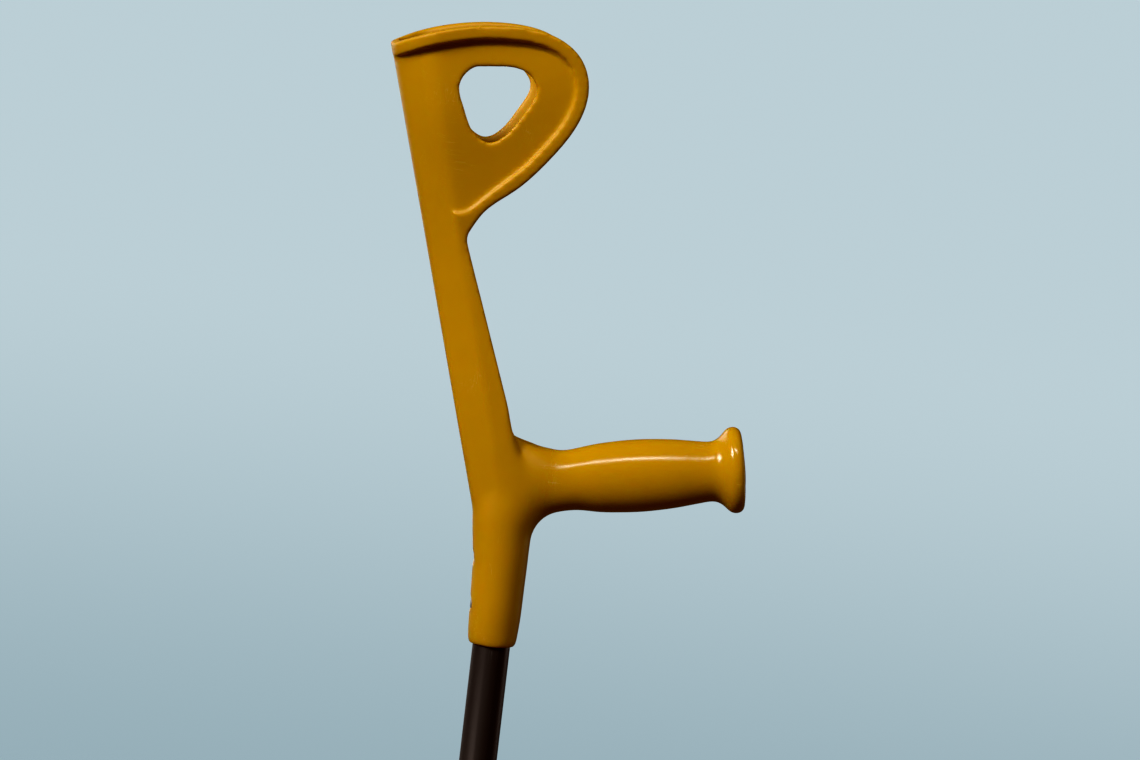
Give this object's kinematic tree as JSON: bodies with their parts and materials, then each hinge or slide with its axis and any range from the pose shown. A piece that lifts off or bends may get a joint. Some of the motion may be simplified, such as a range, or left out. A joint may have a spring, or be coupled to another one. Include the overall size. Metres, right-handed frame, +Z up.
{
  "type": "forearm crutch",
  "caption": "Height-adjustable elbow crutch: moulded handle with open forearm cuff and flanged grip on a push-button telescopic tube with a rubber ferrule.",
  "frame": {"origin": "centre of the ferrule's sole, on the floor", "axes": "+Z up along the shaft, +X forward, the way the hand grip points, +Y to the left; the part is the same on both sides of the XZ plane"},
  "size_m": [0.2346, 0.094, 1.1027],
  "materials": {
    "handle": "golden yellow, satin gloss moulding",
    "tube": "black-brown anodised, satin",
    "rivet": "plain",
    "black_plastic": "fine matt",
    "steel": "plain",
    "rubber": "matt, lightly worn"
  },
  "bodies": {
    "lower_shaft": {"lower_tube": "tube", "ferrule": "rubber", "ferrule_washer": "steel", "glide_plug": "black_plastic", "button_spring": "steel"},
    "upper_shaft": {"handle_moulding": "handle", "grip_end_cap": "handle", "upper_tube": "tube", "socket_rivets": "rivet", "guide_collar": "black_plastic"},
    "button_right": {"lock_button_right": "steel"},
    "button_left": {"lock_button_left": "steel"}
  },
  "joints": [
    {"name": "height_adjust", "type": "slide", "parent": "lower_shaft", "child": "upper_shaft", "axis": [0, 0, 1], "range_m": [-0.14, 0.1]},
    {"name": "press_right", "type": "slide", "parent": "lower_shaft", "child": "button_right", "axis": [0, 1, 0], "range_m": [0, 0.004], "stiffness_N_per_m": 2500, "springref_m": -0.0032},
    {"name": "press_left", "type": "slide", "parent": "lower_shaft", "child": "button_left", "axis": [0, -1, 0], "range_m": [0, 0.004], "stiffness_N_per_m": 2500, "springref_m": -0.0032, "deforming": ["button_spring"]}
  ]
}
